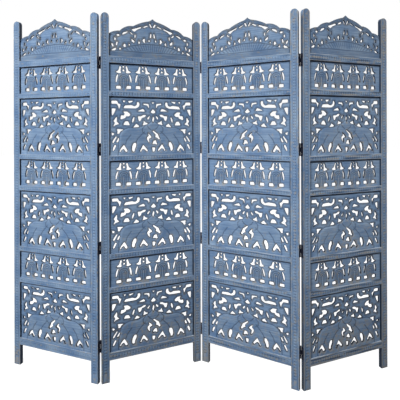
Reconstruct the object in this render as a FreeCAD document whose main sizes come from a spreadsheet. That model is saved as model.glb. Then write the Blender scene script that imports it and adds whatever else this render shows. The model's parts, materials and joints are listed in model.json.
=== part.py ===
import FreeCAD, Part
import Sketcher
import math
import os
from FreeCAD import Placement, Rotation, Vector

# A folding screen of four hinged panels. Each panel is a grooved frame of two stiles and seven rails that
# holds three pierced elephant panels, three pierced arch panels and a scalloped crest.
# A panel is drawn flat in a frame of its own: x along its width from the left edge, y through its thickness
# from the middle, with the front at minus y, and z up from the floor.

doc = FreeCAD.newDocument("folding_screen")
sizes = doc.addObject("Spreadsheet::Sheet", "Sizes")

DRIVING_SIZES = {
    # The frame of one panel
    "screen_height": 1780,
    "panel_width": 508,
    "frame_thick": 20,
    "stile_width": 38,
    "foot_height": 105,
    "bottom_rail_height": 36,
    "cross_rail_height": 25,
    "top_rail_height": 32,
    "arch_opening": 137,
    # The crest above the top rail, and the seats of the carved boards
    "crest_shoulder": 110,
    "crest_rise": 90,
    "stile_above_shoulder": 97,
    "board_groove_width": 10,
    "rail_groove_depth": 6,
    "stile_groove_depth": 8,
    "seat_clearance": 0.2,
    # How far each panel is turned from the one to its left as the screen stands
    "first_panel_turn": -19.2,
    "second_panel_fold": 40.5,
    "third_panel_fold": -48.8,
    "fourth_panel_fold": 48.2,
    # The hinges: the gap between flat panels is as wide as a knuckle
    "edge_gap": 4,
    "pin_stand_off": 2.6,
    "hinge_height": 60,
    "hinge_above_rail": 30,
    "leaf_thick": 1.1,
    "leaf_margin": 2.4,
    "knuckle_clearance": 0.3,
    "pin_radius": 1,
    "pin_clearance": 0.05,
    "screw_inset": 12,
    "screw_length": 14,
    "screw_head_radius": 2.8,
    "screw_shank_radius": 1.5,
    "screw_clearance": 0.1,
}
for row, (alias, value) in enumerate(DRIVING_SIZES.items(), start=1):
    sizes.set(f"A{row}", alias)
    sizes.set(f"B{row}", str(value))
    sizes.setAlias(f"B{row}", alias)
doc.recompute()


def size(alias):
    """The value of one driving size, in millimetres or degrees."""
    return float(sizes.get(alias))


PANELS = (1, 2, 3, 4)
FIELDS = ("lower", "middle", "upper")
opening_width = size("panel_width") - 2 * size("stile_width")
board_thick = size("board_groove_width") - 2 * size("seat_clearance")
rail_seat = size("rail_groove_depth") - size("seat_clearance")
stile_seat = size("stile_groove_depth") - size("seat_clearance")
OPENING_WIDTH = "(Sizes.panel_width - 2 * Sizes.stile_width)"

# Levels of the carved fields and the rails, stacked from the floor. The elephant fields share the height
# that everything else leaves.
rails_and_arches = 5 * size("cross_rail_height") + len(FIELDS) * size("arch_opening")
foot_and_rail = size("foot_height") + size("bottom_rail_height")
crest_to_top = size("top_rail_height") + size("crest_shoulder") + size("stile_above_shoulder")
elephant_opening = (size("screen_height") - foot_and_rail - rails_and_arches - crest_to_top) / len(FIELDS)
elephant_levels = []
arch_levels = []
cross_rail_levels = []
level = foot_and_rail
for field in FIELDS:
    elephant_levels.append(level)
    cross_rail_levels.append(level + elephant_opening)
    arch_levels.append(cross_rail_levels[-1] + size("cross_rail_height"))
    cross_rail_levels.append(arch_levels[-1] + size("arch_opening"))
    level = cross_rail_levels[-1] + size("cross_rail_height")
top_rail_level = cross_rail_levels.pop()
crest_level = top_rail_level + size("top_rail_height")
groove_start = size("foot_height") + size("rail_groove_depth")
groove_end = crest_level + size("crest_shoulder") + size("seat_clearance")


# Plan of the standing screen
def panel_placements():
    """Where each panel stands. A joint turns about its hinge pins, which stand off the back faces at the
    first and third joints and off the front faces at the second. The middle of the plan is the origin."""
    pin_depth = size("frame_thick") / 2 + size("pin_stand_off")
    right_edge = size("panel_width") + size("edge_gap") / 2
    turns = ("second_panel_fold", "third_panel_fold", "fourth_panel_fold")
    places = [Placement(Vector(0, 0, 0), Rotation(Vector(0, 0, 1), size("first_panel_turn")))]
    for turn, side in zip(turns, (1, -1, 1)):
        left = places[-1]
        pin = left.multVec(Vector(right_edge, side * pin_depth, 0))
        rotation = left.Rotation.multiply(Rotation(Vector(0, 0, 1), size(turn)))
        reach = rotation.multVec(Vector(-size("edge_gap") / 2, side * pin_depth, 0))
        places.append(Placement(pin - reach, rotation))
    corners = [
        place.multVec(Vector(x, y, 0))
        for place in places
        for x in (0, size("panel_width"))
        for y in (-size("frame_thick") / 2, size("frame_thick") / 2)
    ]
    plan = FreeCAD.BoundBox()
    for corner in corners:
        plan.add(corner)
    shift = Placement(-Vector(plan.Center.x, plan.Center.y, 0), Rotation())
    return [shift.multiply(place) for place in places]


panel_places = panel_placements()
nodes = []


def node(piece, label, place):
    """Names one finished sub-part of the screen and sets it in its place."""
    piece.Label = label
    piece.Placement = place
    nodes.append(piece)


def copies(master, places):
    """A group of like pieces, each a copy of one master piece."""
    links = []
    for place in places:
        link = doc.addObject("App::Link", f"{master.Name}_copy")
        link.setLink(master)
        link.Placement = place
        links.append(link)
    group = doc.addObject("Part::Compound", f"{master.Name}_group")
    group.Links = links
    return group


# Sketches in a body
def sketch_on(body, role, name, offset):
    """A sketch on one of its body's origin planes, shifted by three bound distances in the sketch's axes."""
    plane = next(part for part in body.Origin.OriginFeatures if part.Role == role)
    sketch = body.newObject("Sketcher::SketchObject", name)
    sketch.AttachmentSupport = [(plane, "")]
    sketch.MapMode = "FlatFace"
    for axis, distance in zip("xyz", offset):
        sketch.setExpression(f"AttachmentOffset.Base.{axis}", distance)
    return sketch


def closed_outline(sketch, smooth_after=()):
    """Joins the ends of a sketch's four edges in turn, some of them smoothly, and pins the first corner to
    the sketch's origin."""
    for edge in range(4):
        kind = "Tangent" if edge in smooth_after else "Coincident"
        sketch.addConstraint(Sketcher.Constraint(kind, edge, 2, (edge + 1) % 4, 1))
    sketch.addConstraint(Sketcher.Constraint("Coincident", 0, 1, -1, 1))


def bound_length(sketch, kind, edge, name, length):
    """A named dimension along one edge of a sketch, bound to the driving sizes."""
    number = sketch.addConstraint(Sketcher.Constraint(kind, edge, 1, edge, 2, 1.0))
    sketch.renameConstraint(number, name)
    sketch.setExpression(f"Constraints.{name}", length)


def rectangle(sketch, width, height):
    """A rectangle from the sketch's origin, its two sides bound to the driving sizes."""
    corners = [Vector(0, 0, 0), Vector(1, 0, 0), Vector(1, 1, 0), Vector(0, 1, 0)]
    sides = [Part.LineSegment(corners[k], corners[(k + 1) % 4]) for k in range(4)]
    sketch.addGeometry(sides, False)
    closed_outline(sketch)
    for edge, direction in enumerate(("Horizontal", "Vertical", "Horizontal", "Vertical")):
        sketch.addConstraint(Sketcher.Constraint(direction, edge))
    bound_length(sketch, "DistanceX", 0, "wide", width)
    bound_length(sketch, "DistanceY", 1, "tall", height)


def pad(body, sketch, length, reversed_way=False):
    """Wood carried from a sketch by a bound length."""
    feature = body.newObject("PartDesign::Pad", "pad")
    feature.Profile = sketch
    feature.Reversed = reversed_way
    feature.setExpression("Length", length)
    return feature


def pocket(body, sketch, length, reversed_way=False):
    """Wood cut away from a sketch by a bound depth."""
    feature = body.newObject("PartDesign::Pocket", "pocket")
    feature.Profile = sketch
    feature.Reversed = reversed_way
    feature.setExpression("Length", length)
    return feature


# Stiles
def stile(name):
    """One upright: a flat post with a half-round top, and a stopped groove in its inner edge for the tenons
    and the carved boards. It is drawn as a left stile, from the panel's left edge inwards."""
    body = doc.addObject("PartDesign::Body", name)
    face = sketch_on(body, "XZ_Plane", "face", ("0", "0", "-Sizes.frame_thick / 2"))
    width = size("stile_width")
    spring = size("screen_height") - width / 2
    foot = [Vector(0, 0, 0), Vector(width, 0, 0)]
    shoulder = [Vector(width, spring, 0), Vector(0, spring, 0)]
    top = Vector(width / 2, size("screen_height"), 0)
    face.addGeometry(
        [
            Part.LineSegment(foot[0], foot[1]),
            Part.LineSegment(foot[1], shoulder[0]),
            Part.Arc(shoulder[0], top, shoulder[1]),
            Part.LineSegment(shoulder[1], foot[0]),
        ],
        False,
    )
    closed_outline(face, smooth_after=(1, 2))
    face.addConstraint(Sketcher.Constraint("Horizontal", 0))
    face.addConstraint(Sketcher.Constraint("Vertical", 1))
    face.addConstraint(Sketcher.Constraint("Vertical", 3))
    bound_length(face, "DistanceX", 0, "wide", "Sizes.stile_width")
    bound_length(face, "DistanceY", 1, "spring", "Sizes.screen_height - Sizes.stile_width / 2")
    pad(body, face, "Sizes.frame_thick")
    slot_width = "(Sizes.board_groove_width + 2 * Sizes.seat_clearance)"
    start = (f"-{slot_width} / 2", f"{groove_start}", "Sizes.stile_width")
    slot = sketch_on(body, "YZ_Plane", "slot", start)
    rectangle(slot, slot_width, f"{groove_end - groove_start}")
    pocket(body, slot, "Sizes.stile_groove_depth")
    return body


# Rails
def rail(name, height, grooved_below):
    """One rail from stile to stile, grooved for the carved boards, with a stub tenon at each end that fits
    the stiles' grooves. It is drawn from its lower edge, its shoulder at the opening's left side."""
    body = doc.addObject("PartDesign::Body", name)
    bar = sketch_on(body, "YZ_Plane", "bar", ("-Sizes.frame_thick / 2", "0", "0"))
    rectangle(bar, "Sizes.frame_thick", height)
    pad(body, bar, OPENING_WIDTH)
    groove_levels = [f"{height} - Sizes.rail_groove_depth"]
    if grooved_below:
        groove_levels.append("0")
    for groove_level in groove_levels:
        groove = sketch_on(body, "YZ_Plane", "groove", ("-Sizes.board_groove_width / 2", groove_level, "0"))
        rectangle(groove, "Sizes.board_groove_width", "Sizes.rail_groove_depth")
        pocket(body, groove, OPENING_WIDTH, reversed_way=True)
    tenon_start = "-(Sizes.stile_groove_depth - Sizes.seat_clearance)"
    corner = ("-Sizes.board_groove_width / 2", "Sizes.rail_groove_depth", tenon_start)
    tenon = sketch_on(body, "YZ_Plane", "tenon", corner)
    rectangle(tenon, "Sizes.board_groove_width", f"{height} - 2 * Sizes.rail_groove_depth")
    pad(body, tenon, f"{OPENING_WIDTH} - 2 * ({tenon_start})")
    return body


# Carved boards
def mirrored(points, width):
    """The same outline on the other side of a board's upright centre line."""
    return [(width - x, y) for x, y in points]


def stretched(points, drawn, made):
    """A template outline, drawn on a field of one size, laid out on a field of another."""
    return [Vector(x * made[0] / drawn[0], 0, y * made[1] / drawn[1]) for x, y in points]


def board(rim, holes):
    """A flat board through the middle of the panel: a rim wire with holes sawn out of it."""
    face = Part.makeFace([rim] + holes, "Part::FaceMakerBullseye")
    face.translate(Vector(0, -board_thick / 2, 0))
    return face.extrude(Vector(0, board_thick, 0))


def field_rim(height):
    """The rectangle of a board that fills a field and enters the grooves on its four sides."""
    low = Vector(-stile_seat, 0, -rail_seat)
    high = Vector(opening_width + stile_seat, 0, height + rail_seat)
    corners = [low, Vector(high.x, 0, low.z), high, Vector(low.x, 0, high.z)]
    return Part.makePolygon(corners + corners[:1])


def sawn_hole(points):
    """One straight-sided hole through a board."""
    return Part.makePolygon(points + points[:1])


# The elephant template, in millimetres from the lower left corner of its field. Two elephants face each
# other with their trunks crossed under a canopy of leaves. Every hole of the left half is sawn in both.
ELEPHANT_FIELD = (432, 288)
ELEPHANT_SIDE_HOLES = {
    "corner leaf": [(14, 266), (42, 266), (57, 247), (49, 224), (39, 250), (14, 252)],
    "long scroll": [(72, 230), (142, 234), (150, 258), (137, 261), (126, 242), (76, 243)],
    "curl by the middle": [(170, 255), (197, 255), (195, 231)],
    "large leaf": [(69, 213), (92, 212), (101, 196), (58, 175), (57, 194)],
    "leaf at the edge": [(36, 188), (47, 153), (24, 142), (22, 168)],
    "bud over the back": [(140, 191), (181, 198), (160, 183), (146, 167)],
    "petal over the head": [(170, 171), (190, 157), (164, 147)],
    "between hind legs": [(72, 50), (88, 17), (71, 31), (52, 16)],
    "under the belly": [(115, 60), (131, 60), (124, 17), (112, 18)],
    "between fore legs": [(167, 51), (189, 18), (170, 31), (152, 17)],
}
ELEPHANT_MIDDLE_HOLES = {
    "drop": [(218, 228), (231, 213), (218, 206), (205, 213)],
    "left of the trunks": [(193, 108), (211, 88), (200, 60), (187, 80)],
    "right of the trunks": [(217, 120), (246, 102), (254, 78), (231, 90)],
    "under the trunks": [(226, 72), (239, 51), (214, 55)],
}


def elephant_board(turned):
    """One elephant panel. On a turned panel the board faces the other way, so its template is mirrored."""
    width = ELEPHANT_FIELD[0]
    outlines = list(ELEPHANT_MIDDLE_HOLES.values())
    if turned:
        outlines = [mirrored(points, width) for points in outlines]
    for points in ELEPHANT_SIDE_HOLES.values():
        outlines += [points, mirrored(points, width)]
    made = (opening_width, elephant_opening)
    holes = [sawn_hole(stretched(points, ELEPHANT_FIELD, made)) for points in outlines]
    return board(field_rim(elephant_opening), holes)


# The arch template: four arches side by side, with a hole in each haunch and a window at each foot, measured
# from an arch's axis
ARCH_FIELD = (432, 137)
ARCH_COUNT = 4
ARCH_PITCH = 97
ARCH_HAUNCH = [(14, 91), (38, 93), (15, 124)]
ARCH_WINDOW = [(12, 13), (38, 13), (37, 28), (15, 28)]


def arch_board():
    """One arch panel, its row of arches centred in the field."""
    made = (opening_width, size("arch_opening"))
    holes = []
    for arch in range(ARCH_COUNT):
        axis = ARCH_FIELD[0] / 2 + ARCH_PITCH * (arch - (ARCH_COUNT - 1) / 2)
        for outline in (ARCH_HAUNCH, ARCH_WINDOW):
            for side in (-1, 1):
                points = [(axis + side * x, y) for x, y in outline]
                holes.append(sawn_hole(stretched(points, ARCH_FIELD, made)))
    return board(field_rim(size("arch_opening")), holes)


# The crest template: three scallops rise from each stile to an ogee point. They are shares of the way from
# the stile to the middle and of the rise from the shoulder to the point, and each scallop is an arc from its
# start through its crown to its end.
CREST_SCALLOPS = [
    ((0.0, 0.0), (0.106, 0.135), (0.241, 0.19)),
    ((0.241, 0.19), (0.366, 0.42), (0.546, 0.5)),
    ((0.546, 0.5), (0.694, 0.72), (0.88, 0.83)),
    ((0.88, 0.83), (0.944, 0.885), (1.0, 1.0)),
]
CREST_FIELD = (432, 195)
CREST_SIDE_SLOTS = {
    "outer rim slot": [(65, 107), (80, 113), (92, 122), (73, 120)],
    "inner rim slot": [(112, 134), (125, 127), (157, 148), (132, 142)],
    "upper rim slot": [(172, 153), (191, 158), (190, 163), (174, 158)],
}
CREST_POINT_SLOT = [(204, 168), (216, 153), (228, 168), (223, 169), (216, 160), (209, 169)]


def crest_board():
    """The crest, from its tongue in the top rail's groove to its scalloped upper edge."""
    rise = size("crest_rise")
    shoulder = size("crest_shoulder")
    left_arcs = []
    right_arcs = []
    for arc in CREST_SCALLOPS:
        points = [(across * opening_width / 2, shoulder + up * rise) for across, up in arc]
        left = [Vector(x, 0, z) for x, z in points]
        right = [Vector(opening_width - x, 0, z) for x, z in points]
        left_arcs.append(Part.Arc(*left).toShape())
        right_arcs.insert(0, Part.Arc(*reversed(right)).toShape())
    edge = [
        Vector(opening_width, 0, shoulder),
        Vector(opening_width + stile_seat, 0, shoulder),
        Vector(opening_width + stile_seat, 0, -rail_seat),
        Vector(-stile_seat, 0, -rail_seat),
        Vector(-stile_seat, 0, shoulder),
        Vector(0, 0, shoulder),
    ]
    rim = Part.Wire(left_arcs + right_arcs + Part.makePolygon(edge).Edges)
    made = (opening_width, shoulder + rise)
    holes = [sawn_hole(stretched(CREST_POINT_SLOT, CREST_FIELD, made))]
    for points in CREST_SIDE_SLOTS.values():
        for outline in (points, mirrored(points, CREST_FIELD[0])):
            holes.append(sawn_hole(stretched(outline, CREST_FIELD, made)))
    return board(rim, holes)


def carved_piece(name, shape):
    """A document object that holds one carved board."""
    piece = doc.addObject("Part::Feature", name)
    piece.Shape = shape
    return piece


# The four panels
def opening_at(height):
    """The place of the left side of a panel's opening, at one height above the floor."""
    return Placement(Vector(size("stile_width"), 0, height), Rotation())


cross_rail = rail("cross_rail", "Sizes.cross_rail_height", grooved_below=True)
arch_master = carved_piece("arch_board", arch_board())
for number, place in zip(PANELS, panel_places):
    panel = f"panel_{number}"
    turned = number in (1, 3)
    half_turn = Placement(Vector(size("panel_width"), 0, 0), Rotation(Vector(0, 0, 1), 180))
    node(stile(f"{panel}_left"), f"{panel}_left_stile", place)
    node(stile(f"{panel}_right"), f"{panel}_right_stile", place.multiply(half_turn))
    bottom = rail(f"{panel}_bottom", "Sizes.bottom_rail_height", grooved_below=False)
    node(bottom, f"{panel}_bottom_rail", place.multiply(opening_at(size("foot_height"))))
    top = rail(f"{panel}_top", "Sizes.top_rail_height", grooved_below=True)
    node(top, f"{panel}_top_rail", place.multiply(opening_at(top_rail_level)))
    rails = copies(cross_rail, [opening_at(height) for height in cross_rail_levels])
    node(rails, f"{panel}_cross_rails", place)
    arches = copies(arch_master, [opening_at(height) for height in arch_levels])
    node(arches, f"{panel}_arch_panels", place)
    for field, height in zip(FIELDS, elephant_levels):
        piece = carved_piece(f"{panel}_elephants", elephant_board(turned))
        node(piece, f"{panel}_elephant_panel_{field}", place.multiply(opening_at(height)))
    crest = carved_piece(f"{panel}_crest_board", crest_board())
    node(crest, f"{panel}_crest", place.multiply(opening_at(crest_level)))

# Hinges, each drawn about its pin: x towards the stile that carries the leaf, y from the pin into the
# panel's thickness, z up from the middle. Knuckles and pins have six flats and screws four, because they
# repeat so often.
KNUCKLE_FLAT_COUNT = 6
SCREW_FLAT_COUNT = 4
FLAT_TURN = f"({180 / KNUCKLE_FLAT_COUNT} deg)"
KNUCKLE_CORNER = f"(Sizes.edge_gap / 2 / cos{FLAT_TURN})"
RELIEF = f"({KNUCKLE_CORNER} + Sizes.knuckle_clearance)"
LEAF_FACE = "(Sizes.edge_gap / 2 - Sizes.leaf_thick)"
LEAF_END = "(Sizes.pin_stand_off + Sizes.frame_thick - Sizes.leaf_margin)"
KNUCKLE_HEIGHT = "((Sizes.hinge_height - 2 * Sizes.knuckle_clearance) / 3)"
KNUCKLE_PITCH = f"({KNUCKLE_HEIGHT} + Sizes.knuckle_clearance)"


def bound_base(piece, corner):
    """Binds where a primitive starts to the driving sizes."""
    for axis, distance in zip("xyz", corner):
        piece.setExpression(f"Placement.Base.{axis}", distance)


def block(name, corner, lengths):
    """A rectangular piece of leaf."""
    piece = doc.addObject("Part::Box", name)
    for side, length in zip(("Length", "Width", "Height"), lengths):
        piece.setExpression(side, length)
    bound_base(piece, corner)
    return piece


def flat_sided_rod(name, reach, start, height):
    """An upright rod with flats, turned so that one of them faces the stile. Reach is to a corner."""
    piece = doc.addObject("Part::Prism", name)
    piece.Polygon = KNUCKLE_FLAT_COUNT
    piece.Placement.Rotation = Rotation(Vector(0, 0, 1), 180 / KNUCKLE_FLAT_COUNT)
    piece.setExpression("Circumradius", reach)
    piece.setExpression("Height", height)
    bound_base(piece, ("0", "0", start))
    return piece


def tapered_hole_or_screw(name, sections, level):
    """A flat-sided taper into the stile through sections given as distance from the pin and radius."""
    rings = []
    for distance, radius in sections:
        ring = doc.addObject("Part::RegularPolygon", f"{name}_ring")
        ring.Polygon = SCREW_FLAT_COUNT
        ring.Placement.Rotation = Rotation(Vector(0, 1, 0), 90)
        ring.setExpression("Circumradius", radius)
        bound_base(ring, (distance, f"({RELIEF} + {LEAF_END}) / 2", level))
        rings.append(ring)
    taper = doc.addObject("Part::Loft", name)
    taper.Sections = rings
    taper.Solid = True
    taper.Ruled = True
    return taper


SCREW_LEVELS = [f"{side} * (Sizes.hinge_height / 2 - Sizes.screw_inset)" for side in ("-1", "1")]


def leaf(name, knuckles):
    """One hinge leaf: a plate on the stile's edge, drilled and countersunk, and rolled knuckles in line
    with the pin. A knuckle is numbered -1, 0 or 1 from the bottom."""
    lengths = ("Sizes.leaf_thick", f"{LEAF_END} - {RELIEF}", "Sizes.hinge_height")
    pieces = [block(f"{name}_plate", (LEAF_FACE, RELIEF, "-Sizes.hinge_height / 2"), lengths)]
    for knuckle in knuckles:
        start = f"{knuckle} * {KNUCKLE_PITCH} - {KNUCKLE_HEIGHT} / 2"
        lengths = ("Sizes.leaf_thick", RELIEF, KNUCKLE_HEIGHT)
        pieces.append(block(f"{name}_neck", (LEAF_FACE, "0", start), lengths))
        pieces.append(flat_sided_rod(f"{name}_knuckle", KNUCKLE_CORNER, start, KNUCKLE_HEIGHT))
    blank = doc.addObject("Part::MultiFuse", f"{name}_blank")
    blank.Shapes = pieces
    blank.Refine = True
    bore_reach = f"(Sizes.pin_radius + Sizes.pin_clearance) / cos{FLAT_TURN}"
    cuts = [flat_sided_rod(f"{name}_bore", bore_reach, "-Sizes.hinge_height", "2 * Sizes.hinge_height")]
    for screw_level in SCREW_LEVELS:
        sections = [
            (LEAF_FACE, "Sizes.screw_head_radius + Sizes.screw_clearance"),
            ("Sizes.edge_gap / 2", "Sizes.screw_shank_radius + Sizes.screw_clearance"),
        ]
        cuts.append(tapered_hole_or_screw(f"{name}_hole", sections, screw_level))
    for cut in cuts:
        drilled = doc.addObject("Part::Cut", f"{name}_drilled")
        drilled.Base = blank
        drilled.Tool = cut
        blank = drilled
    return blank


end_leaf = leaf("end_leaf", (-1, 1))
middle_leaf = leaf("middle_leaf", (0,))
pin = flat_sided_rod("pin", "Sizes.pin_radius", "-Sizes.hinge_height / 2", "Sizes.hinge_height")
screw_sections = [
    (LEAF_FACE, "Sizes.screw_head_radius"),
    ("Sizes.edge_gap / 2", "Sizes.screw_shank_radius"),
    (f"{LEAF_FACE} + Sizes.screw_length", "Sizes.screw_shank_radius"),
]
screws = doc.addObject("Part::Compound", "screws")
screws.Links = [tapered_hole_or_screw("screw", screw_sections, level) for level in SCREW_LEVELS]


def hinge_places(right_edge, at_back):
    """Where the hinges of a joint lie in one of its two panels, with their leaves turned to its edge: one
    above each rail that carries an elephant panel, and one at the top rail's lower edge."""
    x = size("panel_width") + size("edge_gap") / 2 if right_edge else -size("edge_gap") / 2
    y = size("frame_thick") / 2 + size("pin_stand_off")
    turn = Rotation()
    if right_edge:
        turn = Rotation(Vector(0, 1, 0), 180)
    if at_back:
        turn = Rotation(Vector(1, 0, 0), 180).multiply(turn)
    levels = [level + size("hinge_above_rail") for level in elephant_levels]
    levels.append(top_rail_level)
    return [Placement(Vector(x, y if at_back else -y, z), turn) for z in levels]


for number in PANELS[:-1]:
    joint = f"hinge_{number}_{number + 1}"
    at_back = number != 2
    left = panel_places[number - 1]
    right = panel_places[number]
    left_places = hinge_places(True, at_back)
    right_places = hinge_places(False, at_back)
    node(copies(end_leaf, left_places), f"{joint}_left_leaves", left)
    node(copies(middle_leaf, right_places), f"{joint}_right_leaves", right)
    node(copies(pin, left_places), f"{joint}_pins", left)
    node(copies(screws, left_places), f"{joint}_left_screws", left)
    node(copies(screws, right_places), f"{joint}_right_screws", right)

doc.recompute()
failed = [piece.Name for piece in doc.Objects if {"Invalid", "Error"} & set(piece.State)]
if failed:
    raise RuntimeError(f"these pieces failed to build: {failed}")
for piece in nodes:
    if piece.Shape.isNull() or not piece.Shape.isValid() or not piece.Shape.Solids:
        raise RuntimeError(f"{piece.Label} has no valid solid")
os.makedirs("parts", exist_ok=True)
for piece in nodes:
    piece.Shape.exportStep(f"parts/{piece.Label}.step")
print(f"{len(nodes)} nodes, {sum(len(piece.Shape.Solids) for piece in nodes)} solids")
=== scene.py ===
import json
import math

import bpy
import numpy as np
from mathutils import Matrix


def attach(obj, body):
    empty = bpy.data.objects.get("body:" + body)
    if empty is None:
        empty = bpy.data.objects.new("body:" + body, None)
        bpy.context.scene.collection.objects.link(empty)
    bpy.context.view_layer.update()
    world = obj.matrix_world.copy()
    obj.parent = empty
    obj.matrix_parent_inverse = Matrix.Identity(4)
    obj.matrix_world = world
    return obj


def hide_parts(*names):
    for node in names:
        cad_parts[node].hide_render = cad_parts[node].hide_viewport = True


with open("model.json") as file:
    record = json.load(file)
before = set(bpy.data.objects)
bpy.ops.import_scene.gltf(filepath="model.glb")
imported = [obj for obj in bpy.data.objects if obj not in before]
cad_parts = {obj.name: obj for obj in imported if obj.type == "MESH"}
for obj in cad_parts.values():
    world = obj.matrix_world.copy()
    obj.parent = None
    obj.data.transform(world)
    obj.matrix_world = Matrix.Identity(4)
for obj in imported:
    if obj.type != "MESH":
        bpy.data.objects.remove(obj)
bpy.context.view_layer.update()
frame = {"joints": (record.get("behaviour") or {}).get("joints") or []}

# Plan of the screen. Four like panels stand in a zigzag, hinged edge to edge. A panel is laid out flat in
# millimetres, x from its left edge, y through its thickness with the front at minus y, and z up from the
# floor. It is then turned about its hinge pins, whose places the frame's joints give.
PANELS = (1, 2, 3, 4)
PANEL_WIDTH = 508.0
PANEL_TURNS = {1: -19.2, 2: 21.3, 3: -27.5, 4: 20.7}
PIN_BESIDE_EDGE = 2.0
PIN_FROM_MIDDLE = 12.6
PANEL_PINS = {
    1: ("fold_1_2", PANEL_WIDTH + PIN_BESIDE_EDGE, PIN_FROM_MIDDLE),
    2: ("fold_1_2", -PIN_BESIDE_EDGE, PIN_FROM_MIDDLE),
    3: ("fold_2_3", -PIN_BESIDE_EDGE, -PIN_FROM_MIDDLE),
    4: ("fold_3_4", -PIN_BESIDE_EDGE, PIN_FROM_MIDDLE),
}
pin_places = {joint["name"]: np.array(joint["pos_m"]) * 1000 for joint in frame["joints"]}


def in_place(points, panel):
    """Points of a panel's flat layout in millimetres, turned about the upright by the panel's angle and
    moved so that the layout's hinge pin comes to the pin's place in the room, in metres."""
    turn = math.radians(PANEL_TURNS[panel])
    spin = np.array(
        [[math.cos(turn), math.sin(turn), 0], [-math.sin(turn), math.cos(turn), 0], [0, 0, 1]]
    )
    joint, pin_x, pin_y = PANEL_PINS[panel]
    shift = pin_places[joint] - np.array([pin_x, pin_y, 0]) @ spin
    return (points @ spin + shift) / 1000


# Stiles: the two uprights of a panel, planed hardwood with half-round tops and eased edges. Two rows of dots
# are punched down the middle of both faces between a pair of scratched lines. The whole is painted and
# rubbed back here and there. The side that looks into the panel is left dark with glaze and painted shade,
# the edges that meet the next panel carry painted shade, and a few stiles a little painted shade all over.
STILE_WIDTH = 38.0
OUTER_STILES = ((1, 0), (4, 1))
FOOT = 105.0
SCREEN_HEIGHT = 1780.0
HALF_FRAME = 10.0
EASED_EDGE = 0.8
FOOT_ROWS = (0, 0.5, 1.4, EASED_EDGE + 1)
FOOT_EDGE = 0.25
EDGE_CUTS = np.array([1, 0.55, 0.2, 0])
SHARP_ANGLE = 48
DOT_PITCH = 13.7
DOT_RADIUS = 2.9
DOT_CUTS = np.array([-1, -0.5, 0.5, 1])
DOT_STEEPNESS = 3.4
DOT_DEPTH = 1.3
DOT_ROW = 3.7
DOTS_ABOVE_FLOOR = 46.0
DOTS_BELOW_SPRING = 26.0
LINE_FROM_MIDDLE = 10.5
LINE_TO_EDGE = 3.9
LINE_HALF_WIDTH = 1.2
LINE_DEPTH = 0.9
# How far paint is rubbed off and how dark glaze and painted shade are, for all or by panel and side,
# with 0 for left and 1 for right
EDGE_RUB = 0.6
EDGE_RUB_WIDTH = 0.9
BAND_RUB = 0.22
BAND_REACH = 1.5
BAND_FADE = 7.0
CUT_GLAZE = 0.5
# Painted shade on the stile edges that meet the next panel, in the narrow groove between panels
JOINT_EDGE_SHADE = 0.64
# Dark glaze and painted shade on the side of a stile that looks into its panel, where it is in shade
SIDE_GLAZE_AND_SHADE = {1: 0.95, 2: 0.88, 3: 0.93, 4: 0.85}
SIDE_RUB = -0.4
PANEL_RUB = {1: 0.03, 2: 0.05, 3: 0.07, 4: 0.14}
STILE_RUB = {(1, 1): 0.1, (2, 1): 0.12, (3, 0): 0.08, (3, 1): 0.14, (4, 0): 0.05, (4, 1): 0.2}
FOOT_RUB = {(1, 0): 0.5, (3, 0): 0.35}
FOOT_RUB_TOP = 130.0
FOOT_RUB_FADE = 60.0
POST_RUB = {1: 0.05, 2: 0.22, 3: 0.1, 4: 0.17}
POST_START = 1540.0
POST_FADE = 80.0
# Painted shade over some whole stiles, a little darker where less light reaches them
STILE_SHADE = {(2, 0): 0.05, (3, 0): 0.09, (4, 1): 0.05}
# Darker and greyer from a set height down to the floor, more on some panels than on others
PANEL_LOW_DARKENING = {1: 0.1, 2: 1.2, 3: 0.5, 4: 1.0}
LOW_DARKENING_HEIGHT = 750.0
LOW_RUB = 0.22
LOW_DARKENING = 0.24
GRAIN_SHIFT = np.array([0.37, 1.31, 0])
UPRIGHT_GRAIN = [2, 0, 1]


def linear(hex_colour):
    """An sRGB hex value as linear red, green, blue and full alpha."""
    channels = np.array([int(hex_colour[k : k + 2], 16) for k in (1, 3, 5)]) / 255
    light = np.where(channels <= 0.04045, channels / 12.92, ((channels + 0.055) / 1.055) ** 2.4)
    return (*light, 1.0)


def add_node(tree, kind, settings, links):
    """One shader node: settings are its properties or the values of its inputs, by name or number, and links
    join its inputs to other nodes, each with the name or number of its output."""
    node = tree.nodes.new("ShaderNode" + kind)
    for key, value in settings.items():
        if isinstance(key, str) and hasattr(node, key):
            setattr(node, key, value)
        else:
            node.inputs[key].default_value = value
    for key, (source, output) in links.items():
        tree.links.new(source.outputs[output], node.inputs[key])
    return node


def new_material(name):
    """A material with its node tree and its shader."""
    material = bpy.data.materials.new(name)
    material.use_nodes = True
    return material, material.node_tree, material.node_tree.nodes["Principled BSDF"]


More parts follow.
